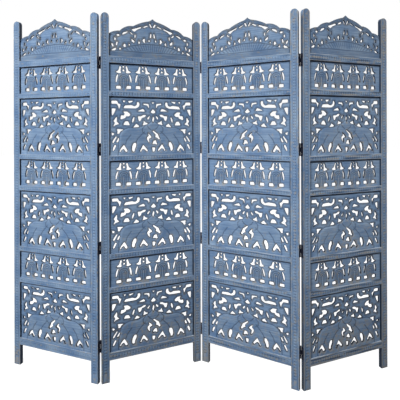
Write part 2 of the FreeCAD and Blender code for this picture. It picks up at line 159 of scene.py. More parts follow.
def distressed_paint():
    """Blue chalk paint brushed on mango wood and rubbed back with sandpaper: of low sheen, cloudy in tone,
    with thin brush streaks along the grain and dusty grey-brown wood showing at worn edges. A pale painted
    highlight lies on the rails' upper edges where light would catch them. One darkening mark holds dark
    glaze left in cuts, a darkening towards the floor, and painted shade and shadow under the rails, at sawn
    edges, at the joints and on the stiles' sides. The pieces' grain mark holds metres along, across and
    through the grain, so scales are patterns per metre."""
    material, tree, shader = new_material("distressed_blue_paint")
    grain, wear, glaze_and_shade, ledge_highlight = (
        add_node(tree, "Attribute", {"attribute_name": mark}, {})
        for mark in ("grain", "wear", "glaze_and_shade", "ledge_highlight")
    )
    lengthways = add_node(tree, "Mapping", {"Scale": (8, 260, 260)}, {"Vector": (grain, "Vector")})
    # Brush and grain streaks about 4 mm apart and 120 mm long, drawn coarser than real pores so that they
    # show, clouds of thicker and thinner paint about 90 mm across, and rubbed patches about 14 mm across
    streaks, clouds, rubs = (
        add_node(
            tree,
            "TexNoise",
            {"Scale": scale, "Detail": detail, "Roughness": roughness},
            {"Vector": (place, "Vector")},
        )
        for place, scale, detail, roughness in (
            (lengthways, 1.0, 3.0, 0.6),
            (grain, 11.0, 3.0, 0.55),
            (grain, 70.0, 5.0, 0.65),
        )
    )
    tone = add_node(tree, "MapRange", {"From Min": 0.3, "From Max": 0.7}, {"Value": (clouds, "Fac")})
    paint = add_node(
        tree, "Mix", {"data_type": "RGBA", 6: linear("#6986ab"), 7: linear("#93a8c1")}, {0: (tone, "Result")}
    )
    streak_tone = add_node(
        tree,
        "MapRange",
        {"From Min": 0.38, "From Max": 0.64, "To Min": 0.0, "To Max": 0.62},
        {"Value": (streaks, "Fac")},
    )
    brushed = add_node(
        tree,
        "Mix",
        {"data_type": "RGBA", 7: linear("#4b6890")},
        {0: (streak_tone, "Result"), 6: (paint, 2)},
    )
    wood = add_node(
        tree, "Mix", {"data_type": "RGBA", 6: linear("#7d7c7b"), 7: linear("#aeaaa5")}, {0: (streaks, "Fac")}
    )
    rubbed = add_node(
        tree, "Math", {"operation": "MULTIPLY_ADD", 1: 0.42}, {0: (wear, "Fac"), 2: (rubs, "Fac")}
    )
    bare = add_node(
        tree,
        "MapRange",
        {"interpolation_type": "SMOOTHSTEP", "From Min": 0.66, "From Max": 0.86, "To Max": 0.8},
        {"Value": (rubbed, 0)},
    )
    surface = add_node(
        tree, "Mix", {"data_type": "RGBA"}, {0: (bare, "Result"), 6: (brushed, 2), 7: (wood, 2)}
    )
    # A pale blue-grey painted highlight on the rails' upper edges, where light would catch them
    highlighted = add_node(
        tree, "Mix", {"data_type": "RGBA", 7: linear("#b3c0d0")}, {0: (ledge_highlight, "Fac"), 6: (surface, 2)}
    )
    # This multiply darkens the colour by one mark: dark glaze in cuts, and painted shade and shadow under
    # the rails, at sawn edges, on the stiles' sides and at the joints
    glazed_and_shaded = add_node(
        tree,
        "Mix",
        {"data_type": "RGBA", "blend_type": "MULTIPLY", 7: linear("#3f4752")},
        {0: (glaze_and_shade, "Fac"), 6: (highlighted, 2)},
    )
    matt = add_node(tree, "MapRange", {"To Min": 0.55, "To Max": 0.78}, {"Value": (rubs, "Fac")})
    ridges = add_node(tree, "Bump", {"Strength": 0.35, "Distance": 0.0006}, {"Height": (streaks, "Fac")})
    shader.inputs["Specular IOR Level"].default_value = 0.18
    tree.links.new(glazed_and_shaded.outputs[2], shader.inputs["Base Color"])
    tree.links.new(matt.outputs["Result"], shader.inputs["Roughness"])
    tree.links.new(ridges.outputs["Normal"], shader.inputs["Normal"])
    return material


painted_wood = distressed_paint()


def make_piece(name, points, panel, face_groups, marks, material):
    """One mesh in its place from points of a panel's flat layout and arrays of faces that share a number of
    corners. Marks are values held at the points, one number or three each, for the material to read."""
    corners = np.concatenate([group.ravel() for group in face_groups]).astype(np.int32)
    counts = np.concatenate([np.full(len(group), group.shape[1]) for group in face_groups])
    mesh = bpy.data.meshes.new(name)
    mesh.vertices.add(len(points))
    mesh.vertices.foreach_set("co", in_place(points, panel).astype(np.float32).ravel())
    mesh.loops.add(len(corners))
    mesh.loops.foreach_set("vertex_index", corners)
    mesh.polygons.add(len(counts))
    mesh.polygons.foreach_set("loop_start", (np.cumsum(counts) - counts).astype(np.int32))
    for mark, values in marks.items():
        if values.ndim == 1:
            held = mesh.attributes.new(mark, "FLOAT", "POINT")
            held.data.foreach_set("value", values.astype(np.float32))
        else:
            held = mesh.attributes.new(mark, "FLOAT_VECTOR", "POINT")
            held.data.foreach_set("vector", values.astype(np.float32).ravel())
    mesh.update(calc_edges=True)
    mesh.validate()
    mesh.shade_smooth()
    mesh.set_sharp_from_angle(angle=math.radians(SHARP_ANGLE))
    mesh.materials.append(material)
    piece = bpy.data.objects.new(name, mesh)
    bpy.context.collection.objects.link(piece)
    return piece


def two_faced(x, z, half, faces):
    """A sheet carved alike on both sides over one grid of x and z: the front lies at minus the half
    thickness, the back at plus, and a wall joins them along each edge that only one face uses. Grid points
    that no face uses are dropped. Returns the points, the faces, and which grid points the front and then
    back points are."""
    used, renumbered = np.unique(faces, return_inverse=True)
    faces = renumbered.reshape(faces.shape)
    count = len(used)
    x, z, half = (values.ravel()[used] for values in (x, z, half))
    points = np.concatenate([np.stack([x, -half, z], 1), np.stack([x, half, z], 1)])
    edges = np.stack([faces, np.roll(faces, -1, 1)], 2).reshape(-1, 2)
    lone = ~np.isin(edges[:, 0] * count + edges[:, 1], edges[:, 1] * count + edges[:, 0])
    start, end = edges[lone].T
    walls = np.stack([start, start + count, end + count, end], 1)
    return points, [faces, faces[:, ::-1] + count, walls], np.concatenate([used, used])


def grid_faces(rows, columns):
    """The four-cornered cells of a grid, facing the front when columns run right and rows up."""
    index = np.arange(rows * columns).reshape(rows, columns)
    cells = [index[:-1, :-1], index[:-1, 1:], index[1:, 1:], index[1:, :-1]]
    return np.stack(cells, -1).reshape(-1, 4)


def bar_columns(half):
    """Distances from a bar's middle line at which its face is cut: four for each row of dots, three for each
    scratched line and four for the rounded edge, on both sides."""
    line = min(LINE_FROM_MIDDLE, half - LINE_TO_EDGE)
    dots = DOT_ROW + DOT_RADIUS * DOT_CUTS
    lines = line + LINE_HALF_WIDTH * np.array([-1, 0, 1])
    edge = half - EASED_EDGE * EDGE_CUTS
    side = np.concatenate([dots, lines, edge])
    return np.concatenate([-side[::-1], side])


def dot_rows(first, last):
    """Places along a bar at which its face is cut, four for each dot, the first dot and their number."""
    count = int((last - first) // DOT_PITCH) + 1
    start = (first + last - (count - 1) * DOT_PITCH) / 2
    middles = start + DOT_PITCH * np.arange(count)
    return (middles[:, None] + DOT_RADIUS * DOT_CUTS).ravel(), start, count


def bell(gap, width):
    """A soft line's cross-section, 1 in its middle: e to minus the square of the gap over the width."""
    return np.exp(-((gap / width) ** 2))


def bar_surface(across, along, to_edge, half, start, count):
    """Half the thickness of a bar: the frame's half thickness less a quarter round where the edge is near, a
    V at each scratched line and a steep flat-bottomed pit at each dot. Also how worn each point is, most on
    the rounded edge and along the band of dots, and how cut in."""
    near = np.clip(1 - to_edge / EASED_EDGE, 0, 1)
    rounding = EASED_EDGE * (1 - np.sqrt(1 - near**2))
    line = min(LINE_FROM_MIDDLE, half - LINE_TO_EDGE)
    scratch = np.clip(1 - np.abs(np.abs(across) - line) / LINE_HALF_WIDTH, 0, 1)
    nearest = start + DOT_PITCH * np.clip(np.round((along - start) / DOT_PITCH), 0, count - 1)
    from_dot = np.hypot(np.abs(across) - DOT_ROW, along - nearest)
    dot = np.clip(DOT_STEEPNESS * (1 - from_dot / DOT_RADIUS), 0, 1)
    depth = HALF_FRAME - rounding - LINE_DEPTH * scratch - DOT_DEPTH * dot
    on_band = np.clip(BAND_REACH - np.abs(across) / BAND_FADE, 0, 1)
    wear = EDGE_RUB * bell(to_edge - EDGE_RUB_WIDTH, EDGE_RUB_WIDTH) + BAND_RUB * on_band
    return depth, wear, CUT_GLAZE * np.maximum(scratch, dot)


def painted_marks(points, panel, wear, glaze_and_shade, along_grain, number):
    """A painted piece's marks with its panel's own share of wear: rubbed back all over, and from a set
    height down to the floor more and more rubbed and darker. The grain mark takes the layout's
    axes along, across and through the grain, in metres, and each numbered piece is cut from another part of
    the tree."""
    towards_floor = PANEL_LOW_DARKENING[panel] * np.clip(1 - points[:, 2] / LOW_DARKENING_HEIGHT, 0, 1)
    return {
        "wear": wear + PANEL_RUB[panel] + LOW_RUB * towards_floor,
        "glaze_and_shade": np.minimum(glaze_and_shade + LOW_DARKENING * towards_floor, 1),
        "grain": points[:, along_grain] / 1000 + number * GRAIN_SHIFT,
    }


half_stile = STILE_WIDTH / 2
spring = SCREEN_HEIGHT - half_stile
stile_rows, first_dot, dot_count = dot_rows(DOTS_ABOVE_FLOOR, spring - DOTS_BELOW_SPRING)
top_angles = np.radians([0, 14, 28, 42, 55, 67, 77, 84])
levels = np.concatenate([FOOT_ROWS, stile_rows, spring + half_stile * np.sin(top_angles)])
narrowing = np.concatenate([np.ones(len(levels) - len(top_angles)), np.cos(top_angles)])
columns = bar_columns(half_stile)
across, along = np.meshgrid(columns, levels)
beside = across * narrowing[:, None]
above_spring = np.maximum(along - spring, 0)
to_edge = np.minimum(half_stile - np.hypot(beside, above_spring), along + FOOT_EDGE)
depth, wear, glaze_and_shade = bar_surface(across, along, to_edge, half_stile, first_dot, dot_count)
stile_faces = grid_faces(len(levels), len(columns))
on_post = np.clip((along - POST_START) / POST_FADE, 0, 1)
at_foot = np.clip((FOOT_RUB_TOP - along) / FOOT_RUB_FADE, 0, 1)
for panel in PANELS:
    for side, name in ((0, "left"), (1, "right")):
        middle = half_stile + side * (PANEL_WIDTH - STILE_WIDTH)
        points, faces, taken = two_faced(beside + middle, along, depth, stile_faces)
        # The cut marks, with painted shade: a little over some whole stiles, dark on the side that looks
        # into the panel and in full at the feet, and on the edges that meet the next panel
        glazed_and_shaded = glaze_and_shade + STILE_SHADE.get((panel, side), 0)
        glazed_and_shaded[:, side - 1] = np.where(levels < FOOT, 1, SIDE_GLAZE_AND_SHADE[panel]) * narrowing
        if (panel, side) not in OUTER_STILES:
            glazed_and_shaded[levels < spring, -side] = JOINT_EDGE_SHADE
        worn = wear + STILE_RUB.get((panel, side), 0) + POST_RUB[panel] * on_post
        worn = worn + FOOT_RUB.get((panel, side), 0) * at_foot
        worn[:, side - 1] = SIDE_RUB
        worn, glazed_and_shaded = worn.ravel()[taken], glazed_and_shaded.ravel()[taken]
        marks = painted_marks(points, panel, worn, glazed_and_shaded, UPRIGHT_GRAIN, 2 * panel + side)
        stile = make_piece(f"stile_{panel}_{name}", points, panel, faces, marks, painted_wood)
        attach(stile, f"panel_{panel}")
        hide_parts(f"panel_{panel}_{name}_stile")

# Rails: seven bars across each panel, tenoned between the stiles and pinned with a nail at each end. They
# are of the same planed and painted wood as the stiles, with the same punched dots and scratched lines, and
# their upper edges carry a pale painted highlight where light would catch them.
OPENING = PANEL_WIDTH - 2 * STILE_WIDTH
BOTTOM_RAIL = 36.0
CROSS_RAIL = 25.0
TOP_RAIL = 32.0
DOTS_FROM_END = 16.0
END_STRIP = 3.0
CROSS_GRAIN = [0, 2, 1]
RAIL_NUMBER = 10
STROKES = ((1.0, 83.0, 30.0, 2.6), (0.7, 31.0, 50.0, 4.3))
# How rubbed the light strokes of a panel's rails are, how dark the dark ones, and how dark the dots
RAIL_STREAKS = {1: (0.2, 0.0, 0.4), 2: (0.25, 0.2, 0.8), 3: (0.3, 0.4, 0.6), 4: (0.65, 0.6, 0.9)}
LEDGE_WIDTH = 3.0
# How strong the pale painted highlight on the rails' upper edges is, by panel
LEDGE_HIGHLIGHT = {1: 0.35, 2: 0.7, 3: 0.6, 4: 0.8}
HIGHLIGHT_COVER = 0.7
HIGHLIGHT_STREAK = 0.4
FIELDS = 3
ELEPHANT_FIELD = 288.0
ARCH_FIELD = 137.0
FIELD_PITCH = ELEPHANT_FIELD + ARCH_FIELD + 2 * CROSS_RAIL
elephant_levels = FOOT + BOTTOM_RAIL + FIELD_PITCH * np.arange(FIELDS)
arch_levels = elephant_levels + ELEPHANT_FIELD + CROSS_RAIL
cross_rail_levels = np.sort(np.concatenate([arch_levels - CROSS_RAIL, arch_levels[:-1] + ARCH_FIELD]))
top_rail_level = arch_levels[-1] + ARCH_FIELD


def rail_at(level, height):
    """A rail from stile to stile: the bar's surface with its length along x. Returns its points and faces,
    how worn and how cut in they are, and 1 for points on the strip along the upper edge."""
    half = height / 2
    places, start, count = dot_rows(DOTS_FROM_END, OPENING - DOTS_FROM_END)
    lengths = np.concatenate([[0, END_STRIP], places, [OPENING - END_STRIP, OPENING]])
    rows = bar_columns(half)
    along, across = np.meshgrid(lengths, rows)
    depth, wear, glaze_and_shade = bar_surface(across, along, half - np.abs(across), half, start, count)
    ledge = 1.0 * (across > half - LEDGE_WIDTH)
    faces = grid_faces(len(rows), len(lengths))
    points, faces, taken = two_faced(along + STILE_WIDTH, across + level + half, depth, faces)
    return points, faces, wear.ravel()[taken], glaze_and_shade.ravel()[taken], ledge.ravel()[taken]


def rail_streaks(along, up):
    """Strokes of thick and thin paint along a rail: slanting waves along it, each times a wave across it and
    a strength, so that rubbed streaks count as positive and dark ones as negative."""
    return sum(
        strength * np.sin(along / length + up / slant) * np.sin(up / apart)
        for strength, length, slant, apart in STROKES
    )


def joined(parts):
    """Several closed meshes as one: points, faces and marks put one after another."""
    starts = np.cumsum([0] + [len(part[0]) for part in parts])
    points = np.concatenate([part[0] for part in parts])
    groups = [group + start for part, start in zip(parts, starts) for group in part[1]]
    marks = [np.concatenate(values) for values in list(zip(*parts))[2:]]
    return points, groups, *marks


for panel in PANELS:
    rails = {
        "bottom_rail": [(FOOT, BOTTOM_RAIL)],
        "cross_rails": [(level, CROSS_RAIL) for level in cross_rail_levels],
        "top_rail": [(top_rail_level, TOP_RAIL)],
    }
    for name, places in rails.items():
        points, faces, wear, glaze_and_shade, ledge = joined([rail_at(*place) for place in places])
        streaks = rail_streaks(points[:, 0] + PANEL_WIDTH * panel, points[:, 2])
        rubbed, dark, in_dots = RAIL_STREAKS[panel]
        wear = wear + rubbed * np.clip(streaks, 0, 1)
        glaze_and_shade = in_dots * glaze_and_shade + dark * np.clip(-streaks, 0, 1)
        marks = painted_marks(points, panel, wear, glaze_and_shade, CROSS_GRAIN, RAIL_NUMBER + panel)
        marks["ledge_highlight"] = LEDGE_HIGHLIGHT[panel] * ledge * np.clip(HIGHLIGHT_COVER + HIGHLIGHT_STREAK * streaks, 0, 1)
        rail = make_piece(f"{name}_{panel}", points, panel, faces, marks, painted_wood)
        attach(rail, f"panel_{panel}")
        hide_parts(f"panel_{panel}_{name}")

# Elephant panels: thin boards, fretsawn right through and then carved on both sides. Two elephants face each
# other with their trunks crossed, under a canopy of leaves and scrolls. Sawn edges are rounded over with a
# knife, and the boards sit in grooves in the frame.
BOARD_PITCH = 2.6
BOARD_OVERLAP = 0.4
BOARD_HALF = 4.6
SAWN_HALF = 2.9
KNIFE_REACH = 5.5
CARVING_REACH = 30.0
EDGE_PULL = 0.56
CURVE_EASE = 0.17
CURVE_STEPS = 6
SCRATCH_WIDTH = 2.1
SCRATCH_SHARE = 0.8
SCRATCH_DEPTH = 1.1
SCRATCH_CLEAR = 1.5
BODY_LINE_WIDTH = 1.6
BODY_SLOPE = 12.0
BODY_FROM_EDGE = 8.0
BODY_RISE = 1.8
BODY_RUB = 0.2
BODY_GLAZE = 0.06
LEAF_LINE = 6.0
LEAF_LINE_WIDTH = 1.5
LEAF_LINE_SHARE = 0.9
LEAVES_ABOVE = 60.0
LEAVES_FADE = 6.0
# The step round a board at its frame: cut in, and darkened in full as a painted shadow
SHADOW_QUIRK = 3.8
SIDE_QUIRK = 0.7
QUIRK_FLAT = 5.0
QUIRK_SLOPE = 4.5
RIDGE_RUB = 0.5
RIDGE_FROM_EDGE = 4.0
RIDGE_WIDTH = 2.0
# Dark glaze on a board's sawn edges, together with painted shade for the shaded edge walls
SAWN_GLAZE_AND_SHADE = 0.9
SAWN_GLAZE_AND_SHADE_REACH = 3.6
SCRATCH_GLAZE = 0.75
# A painted shadow on each board under the rail above it, darkest on the panels turned away from the key lamp
RAIL_SHADOW_PAINT = {1: 0.0, 2: 0.9, 3: 0.45, 4: 0.9}
RAIL_SHADOW_REACH = 7.0
RAIL_SHADOW_FADE = 4.0
WANDER = 0.9
WANDER_FADE = 16.0
WANDER_WAVES = ((27.0, 1.7), (41.0, 2.9), (33.0, 2.3), (37.0, 1.1))
LESSER_WAVE = 0.6
TURNED_PANELS = (1, 3)
ELEPHANT_NUMBER = 20
SIDE_HOLES = [
    [(14, 266), (40, 266), (46, 253), (57, 248), (49, 224), (45, 240), (38, 251), (14, 252)],
    [(68, 267), (80, 267), (73, 258)],
    [(94, 266), (117, 268), (112, 262), (98, 257)],
    [(72, 230), (130, 231), (146, 240), (150, 252), (147, 262), (137, 262), (135, 248), (125, 241),
     (110, 246), (78, 243)],
    [(170, 256), (195, 254), (198, 240), (195, 231), (191, 243), (184, 248), (170, 250)],
    [(14, 228), (33, 227), (28, 212), (18, 195), (14, 198)],
    [(140, 217), (155, 225), (168, 229), (176, 218), (172, 216)],
    [(69, 213), (88, 213), (102, 202), (101, 194), (93, 190), (82, 190), (78, 182), (60, 175), (54, 178),
     (58, 194), (72, 194), (74, 204)],
    [(36, 188), (38, 172), (37, 165), (48, 153), (30, 147), (25, 141), (22, 144), (28, 158), (22, 168)],
    [(119, 188), (123, 184), (121, 172), (115, 160), (111, 162), (112, 174)],
    [(140, 191), (155, 192), (168, 199), (181, 198), (176, 189), (160, 184), (155, 172), (146, 167),
     (141, 180)],
    [(199, 194), (200, 188), (194, 177), (188, 177), (188, 184)],
    [(78, 165), (92, 165), (100, 150), (98, 147), (72, 148), (70, 152)],
    [(132, 155), (147, 144), (144, 139), (118, 137), (125, 146)],
    [(170, 171), (178, 162), (190, 158), (188, 153), (172, 149), (164, 147), (168, 158)],
    [(40, 128), (70, 125), (58, 118), (50, 106), (41, 106), (42, 116)],
    [(14, 112), (27, 106), (20, 98), (15, 100)],
    [(35, 94), (38, 88), (24, 63), (18, 60), (18, 70), (26, 82)],
    [(47, 86), (50, 80), (45, 66), (36, 63), (38, 72)],
    [(28, 52), (35, 47), (23, 24), (17, 24), (20, 38)],
    [(72, 50), (88, 22), (85, 15), (78, 18), (71, 30), (60, 25), (55, 16), (50, 18), (56, 32)],
    [(120, 60), (131, 60), (132, 45), (125, 30), (123, 18), (114, 17), (110, 28), (112, 45)],
    [(167, 51), (178, 38), (190, 22), (186, 16), (170, 30), (160, 26), (156, 16), (150, 19), (158, 35)],
]
MIDDLE_HOLES = [
    [(211, 262), (226, 262), (218, 255)],
    [(218, 228), (231, 213), (224, 207), (213, 207), (205, 213)],
    [(218, 192), (224, 180), (218, 160), (213, 174)],
    [(193, 108), (205, 98), (212, 88), (206, 84), (198, 80), (200, 60), (194, 66), (187, 78), (187, 88),
     (196, 96)],
    [(219, 121), (232, 112), (245, 102), (250, 88), (255, 80), (250, 74), (240, 84), (230, 88),
     (232, 100), (216, 117)],
    [(222, 70), (234, 72), (236, 62), (240, 52), (234, 50), (228, 54), (215, 54), (216, 60)],
    [(213, 36), (229, 34), (226, 18), (224, 15), (216, 15), (214, 22)],
]
# The left elephant's rump, back and head, from the ground to the crossed trunks
ELEPHANT_BACK = [
    (44, -20), (44, 40), (46, 64), (49, 90), (55, 108), (66, 121), (84, 132), (104, 136), (122, 134),
    (144, 136), (162, 144), (182, 150), (198, 159), (210, 170)
]
# Lines scratched on the left elephant: thigh, shoulder, ear, and the trunk's fold
ELEPHANT_LINES = [
    [(79, 54), (86, 74), (106, 100)],
    [(130, 64), (142, 84), (174, 116)],
    [(176, 144), (163, 132), (164, 114), (178, 105)],
    [(186, 146), (196, 132), (206, 126)],
]


def smooth_curve(points, closed):
    """A smooth curve through points: between each pair it is the cubic whose slope at a point is a set share
    of the way from the point before to the point after. The smaller the share, the sharper the corners."""
    points = np.array(points, float)
    before, after = np.roll(points, 1, 0), np.roll(points, -1, 0)
    if not closed:
        before[0], after[-1] = points[0], points[-1]
    slope = (after - before) * CURVE_EASE
    start, end = points, np.roll(points, -1, 0)
    leave, arrive = slope, np.roll(slope, -1, 0)
    if not closed:
        start, end, leave, arrive = start[:-1], end[:-1], leave[:-1], arrive[:-1]
    t = np.linspace(0, 1, CURVE_STEPS, endpoint=False)[None, :, None]
    curve = (
        (2 * t**3 - 3 * t**2 + 1) * start[:, None]
        + (t**3 - 2 * t**2 + t) * leave[:, None]
        + (3 * t**2 - 2 * t**3) * end[:, None]
        + (t**3 - t**2) * arrive[:, None]
    ).reshape(-1, 2)
    return curve if closed else np.concatenate([curve, points[-1:]])


def nearest_on(points, curve, closed, reach):
    """For the points that lie within reach of a curve's box: which they are, their distance to the curve's
    nearest straight piece, the foot there, and whether they lie inside, by an odd number of crossings to the
    right."""
    boxed = (points > curve.min(0) - reach) & (points < curve.max(0) + reach)
    near = np.flatnonzero(boxed.all(1))
    start = curve if closed else curve[:-1]
    end = np.roll(curve, -1, 0) if closed else curve[1:]
    step = end - start
    p = points[near][:, None]
    share = np.clip(((p - start) * step).sum(2) / np.maximum((step**2).sum(1), 1e-9), 0, 1)
    feet = start + share[..., None] * step
    gaps = np.hypot(*np.moveaxis(p - feet, 2, 0))
    best = gaps.argmin(1)
    rows = np.arange(len(near))
    straddles = (start[:, 1] > p[..., 1]) != (end[:, 1] > p[..., 1])
    rise = np.where(step[:, 1] == 0, 1e-9, step[:, 1])
    right_of = p[..., 0] < start[:, 0] + (p[..., 1] - start[:, 1]) * step[:, 0] / rise
    inside = (straddles & right_of).sum(1) % 2 == 1
    return near, gaps[rows, best], feet[rows, best], inside


def sawn_grid(top, holes, rim=None):
    """A board's grid of points up to its top, with holes sawn out of it. Each point's distance to the
    nearest sawn edge counts as negative in a hole or outside the rim. Points within about half a step of
    an edge are moved on to it, each cell is split along the diagonal that lies nearer to an edge, and
    triangles on the wood are kept."""
    columns, rows = (
        np.linspace(-BOARD_OVERLAP, end, int(round((end + BOARD_OVERLAP) / BOARD_PITCH)) + 1)
        for end in (OPENING + BOARD_OVERLAP, top)
    )
    points = np.stack(np.meshgrid(columns, rows), -1).reshape(-1, 2)
    distance = np.full(len(points), CARVING_REACH)
    feet = points.copy()
    for curve in holes + ([rim] if rim is not None else []):
        near, gap, foot, inside = nearest_on(points, curve, True, CARVING_REACH)
        signed = np.where(inside == (curve is rim), gap, -gap)
        closer = signed < distance[near]
        distance[near[closer]] = signed[closer]
        feet[near[closer]] = foot[closer]
    on_edge = np.abs(distance) < EDGE_PULL * BOARD_PITCH
    points[on_edge] = feet[on_edge]
    distance[on_edge] = 0
    index = np.arange(len(points)).reshape(len(rows), len(columns))
    a, b, c, d = index[:-1, :-1], index[:-1, 1:], index[1:, 1:], index[1:, :-1]
    size = np.abs(distance)
    rising = (size[a] + size[c] < size[b] + size[d]).ravel()
    a, b, c, d = a.ravel(), b.ravel(), c.ravel(), d.ravel()
    first = np.where(rising[:, None], np.stack([a, b, c], 1), np.stack([a, b, d], 1))
    second = np.where(rising[:, None], np.stack([a, c, d], 1), np.stack([b, c, d], 1))
    triangles = np.concatenate([first, second])
    values = distance[triangles]
    kept = np.all(values >= 0, axis=1) & (values.sum(1) > 0)
    return points, distance, triangles[kept]


def scratched(points, lines):
    """How deep into a scratched line each point lies, from 0 beside the lines to 1 on one of them."""
    depth = np.zeros(len(points))
    for line in lines:
        near, gap, _, _ = nearest_on(points, line, False, 3 * SCRATCH_WIDTH)
        depth[near] = np.maximum(depth[near], bell(gap, SCRATCH_WIDTH))
    return depth


def mirrored(curves):
    """The same curves on the other side of a board's upright centre line."""
    return [[(OPENING - x, y) for x, y in curve] for curve in curves]


def eased(value):
    """A share from 0 to 1, with level ends: three times its square less twice its cube."""
    share = np.clip(value, 0, 1)
    return share * share * (3 - 2 * share)


def knife_rounded(distance):
    """Half the thickness of a board near a sawn edge: a parabola from the edge up to the flat."""
    return BOARD_HALF - (BOARD_HALF - SAWN_HALF) * (1 - np.clip(distance / KNIFE_REACH, 0, 1)) ** 2


def quirk(points, height):
    """The shadowed step cut round a board where it meets its frame, deepest under the rail above it."""
    side = np.minimum(points[:, 0], OPENING - points[:, 0])
    return np.maximum(
        1 - eased((height - points[:, 1] - QUIRK_FLAT) / QUIRK_SLOPE),
        SIDE_QUIRK * (1 - eased((side - QUIRK_FLAT / 2) / QUIRK_SLOPE)),
    )


def with_painted_rail_shadow(points, height, panel, glaze_and_shade):
    """How dark a board's points are on one panel: its glaze marks, and a painted shadow close under the rail
    above the board, as the rail would cast it, for a few millimetres and then fading."""
    under_rail = 1 - eased((height - points[:, 1] - RAIL_SHADOW_REACH) / RAIL_SHADOW_FADE)
    return np.maximum(glaze_and_shade, RAIL_SHADOW_PAINT[panel] * under_rail)


def board_marks(distance, scratch, step):
    """How worn and how dark a board's points are: sandpaper catches the ridge a few millimetres in from a
    sawn edge; dark glaze stays in scratched lines, and on the sawn edge itself together with painted shade;
    and the step at the frame is darkened in full as a painted shadow."""
    wear = RIDGE_RUB * bell(distance - RIDGE_FROM_EDGE, RIDGE_WIDTH)
    edge = 1 - np.clip(distance / SAWN_GLAZE_AND_SHADE_REACH, 0, 1)
    return wear, np.max([SAWN_GLAZE_AND_SHADE * edge, SCRATCH_GLAZE * scratch, step], axis=0)


def elephant_carving(turned):
    """The elephant board's grid: half thickness rises from each sawn edge to a flat, swells over the
    elephants' bodies, and sinks at scratched lines, in a line round each hole of the leaves, and at the
    frame."""
    middle = mirrored(MIDDLE_HOLES) if turned else MIDDLE_HOLES
    holes = SIDE_HOLES + mirrored(SIDE_HOLES) + middle
    holes = [smooth_curve(hole, True) for hole in holes]
    points, distance, triangles = sawn_grid(ELEPHANT_FIELD + BOARD_OVERLAP, holes)
    lines = ELEPHANT_LINES + mirrored(ELEPHANT_LINES)
    scratch = scratched(points, [smooth_curve(line, False) for line in lines])
    step = quirk(points, ELEPHANT_FIELD)
    left, right = (smooth_curve(back, False) for back in [ELEPHANT_BACK] + mirrored([ELEPHANT_BACK]))
    backs = np.concatenate([left, right[::-1]])
    near, gap, _, inside = nearest_on(points, backs, True, CARVING_REACH)
    in_body = np.full(len(points), -CARVING_REACH)
    in_body[near] = np.where(inside, gap, -gap)
    outline = bell(in_body, BODY_LINE_WIDTH)
    in_leaves = eased(-in_body / LEAVES_FADE) * (points[:, 1] > LEAVES_ABOVE)
    leaf_lines = bell(distance - LEAF_LINE, LEAF_LINE_WIDTH) * in_leaves
    scratch = np.max([SCRATCH_SHARE * scratch, outline, LEAF_LINE_SHARE * leaf_lines], axis=0)
    scratch = scratch * (distance > SCRATCH_CLEAR)
    body = eased(in_body / BODY_SLOPE)
    rise = BODY_RISE * body * eased(distance / BODY_FROM_EDGE)
    half = knife_rounded(distance) + rise - SCRATCH_DEPTH * scratch - SHADOW_QUIRK * step
    wear, glaze_and_shade = board_marks(distance, scratch, step)
    return points, triangles, half, wear + BODY_RUB * body, np.minimum(glaze_and_shade + BODY_GLAZE * body, 1)


def wandered(points, height, number):
    """Small drifts of a hand-sawn copy from its pattern: each way a long wave and a lesser one, with phases
    that differ from copy to copy, that die out at the frame."""
    x, y = points.T
    rim = np.minimum.reduce([x, OPENING - x, y, height - y])
    fade = np.clip(rim / WANDER_FADE, 0, 1)
    across, across_too, up, up_too = (
        np.sin(place / length + phase * number) for place, (length, phase) in zip((y, x, x, y), WANDER_WAVES)
    )
    drift = np.stack([across + LESSER_WAVE * across_too, up + LESSER_WAVE * up_too], 1)
    return points + WANDER * drift * fade[:, None]


carvings = {turned: elephant_carving(turned) for turned in (False, True)}
for panel in PANELS:
    for number, name in enumerate(("lower", "middle", "upper")):
        pattern, triangles, half, wear, glaze_and_shade = carvings[panel in TURNED_PANELS]
        drift = FIELDS * panel + number
        copy = wandered(pattern, ELEPHANT_FIELD, drift)
        x, z = copy[:, 0] + STILE_WIDTH, copy[:, 1] + elephant_levels[number]
        points, faces, taken = two_faced(x, z, half, triangles)
        board_dark_marks = with_painted_rail_shadow(pattern, ELEPHANT_FIELD, panel, glaze_and_shade)[taken]
        marks = painted_marks(points, panel, wear[taken], board_dark_marks, CROSS_GRAIN, ELEPHANT_NUMBER + drift)
        board = make_piece(f"elephants_{panel}_{name}", points, panel, faces, marks, painted_wood)
        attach(board, f"panel_{panel}")
        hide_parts(f"panel_{panel}_elephant_panel_{name}")

# Arch panels: shallow boards of the same wood between the elephants, each a row of four arches with pierced
# haunches, slits beside their springing and small windows at the foot, and arch lines scratched one in
# another.
ARCH_NUMBER = 40
ARCHES = 4
ARCH_PITCH = 97.0
HAUNCH = [(-38, 95), (-25, 104), (-18, 125), (-11, 121), (-14, 104), (-11.5, 91), (-24, 90)]
SLIT = [(-30.5, 84), (-26, 83), (-29.8, 66), (-34.3, 46), (-39, 45), (-39.2, 60), (-36, 74)]
WINDOW = [(-36, 27.5), (-26, 28), (-15.5, 27.5), (-13, 13.5), (-25, 13), (-37, 13.5)]
PEEPHOLES = ((121.5, 4.3), (104, 5.2))
PEEPHOLE_SIDES = 16
ARCH_SPRING = 60.0
ARCH_LINES = (5.5, 13.8, 22.3)
ARCH_LINE_WIDTH = 2.0
ARCH_LINE_DEPTH = 1.2
ARCH_LINE_CLEAR = 2.0
ARCH_LINE_FOOT = 12.0
ARCH_FADE = 6.0
DOOR_HALF_WIDTH = 30.0
DOOR_RUB = 0.42


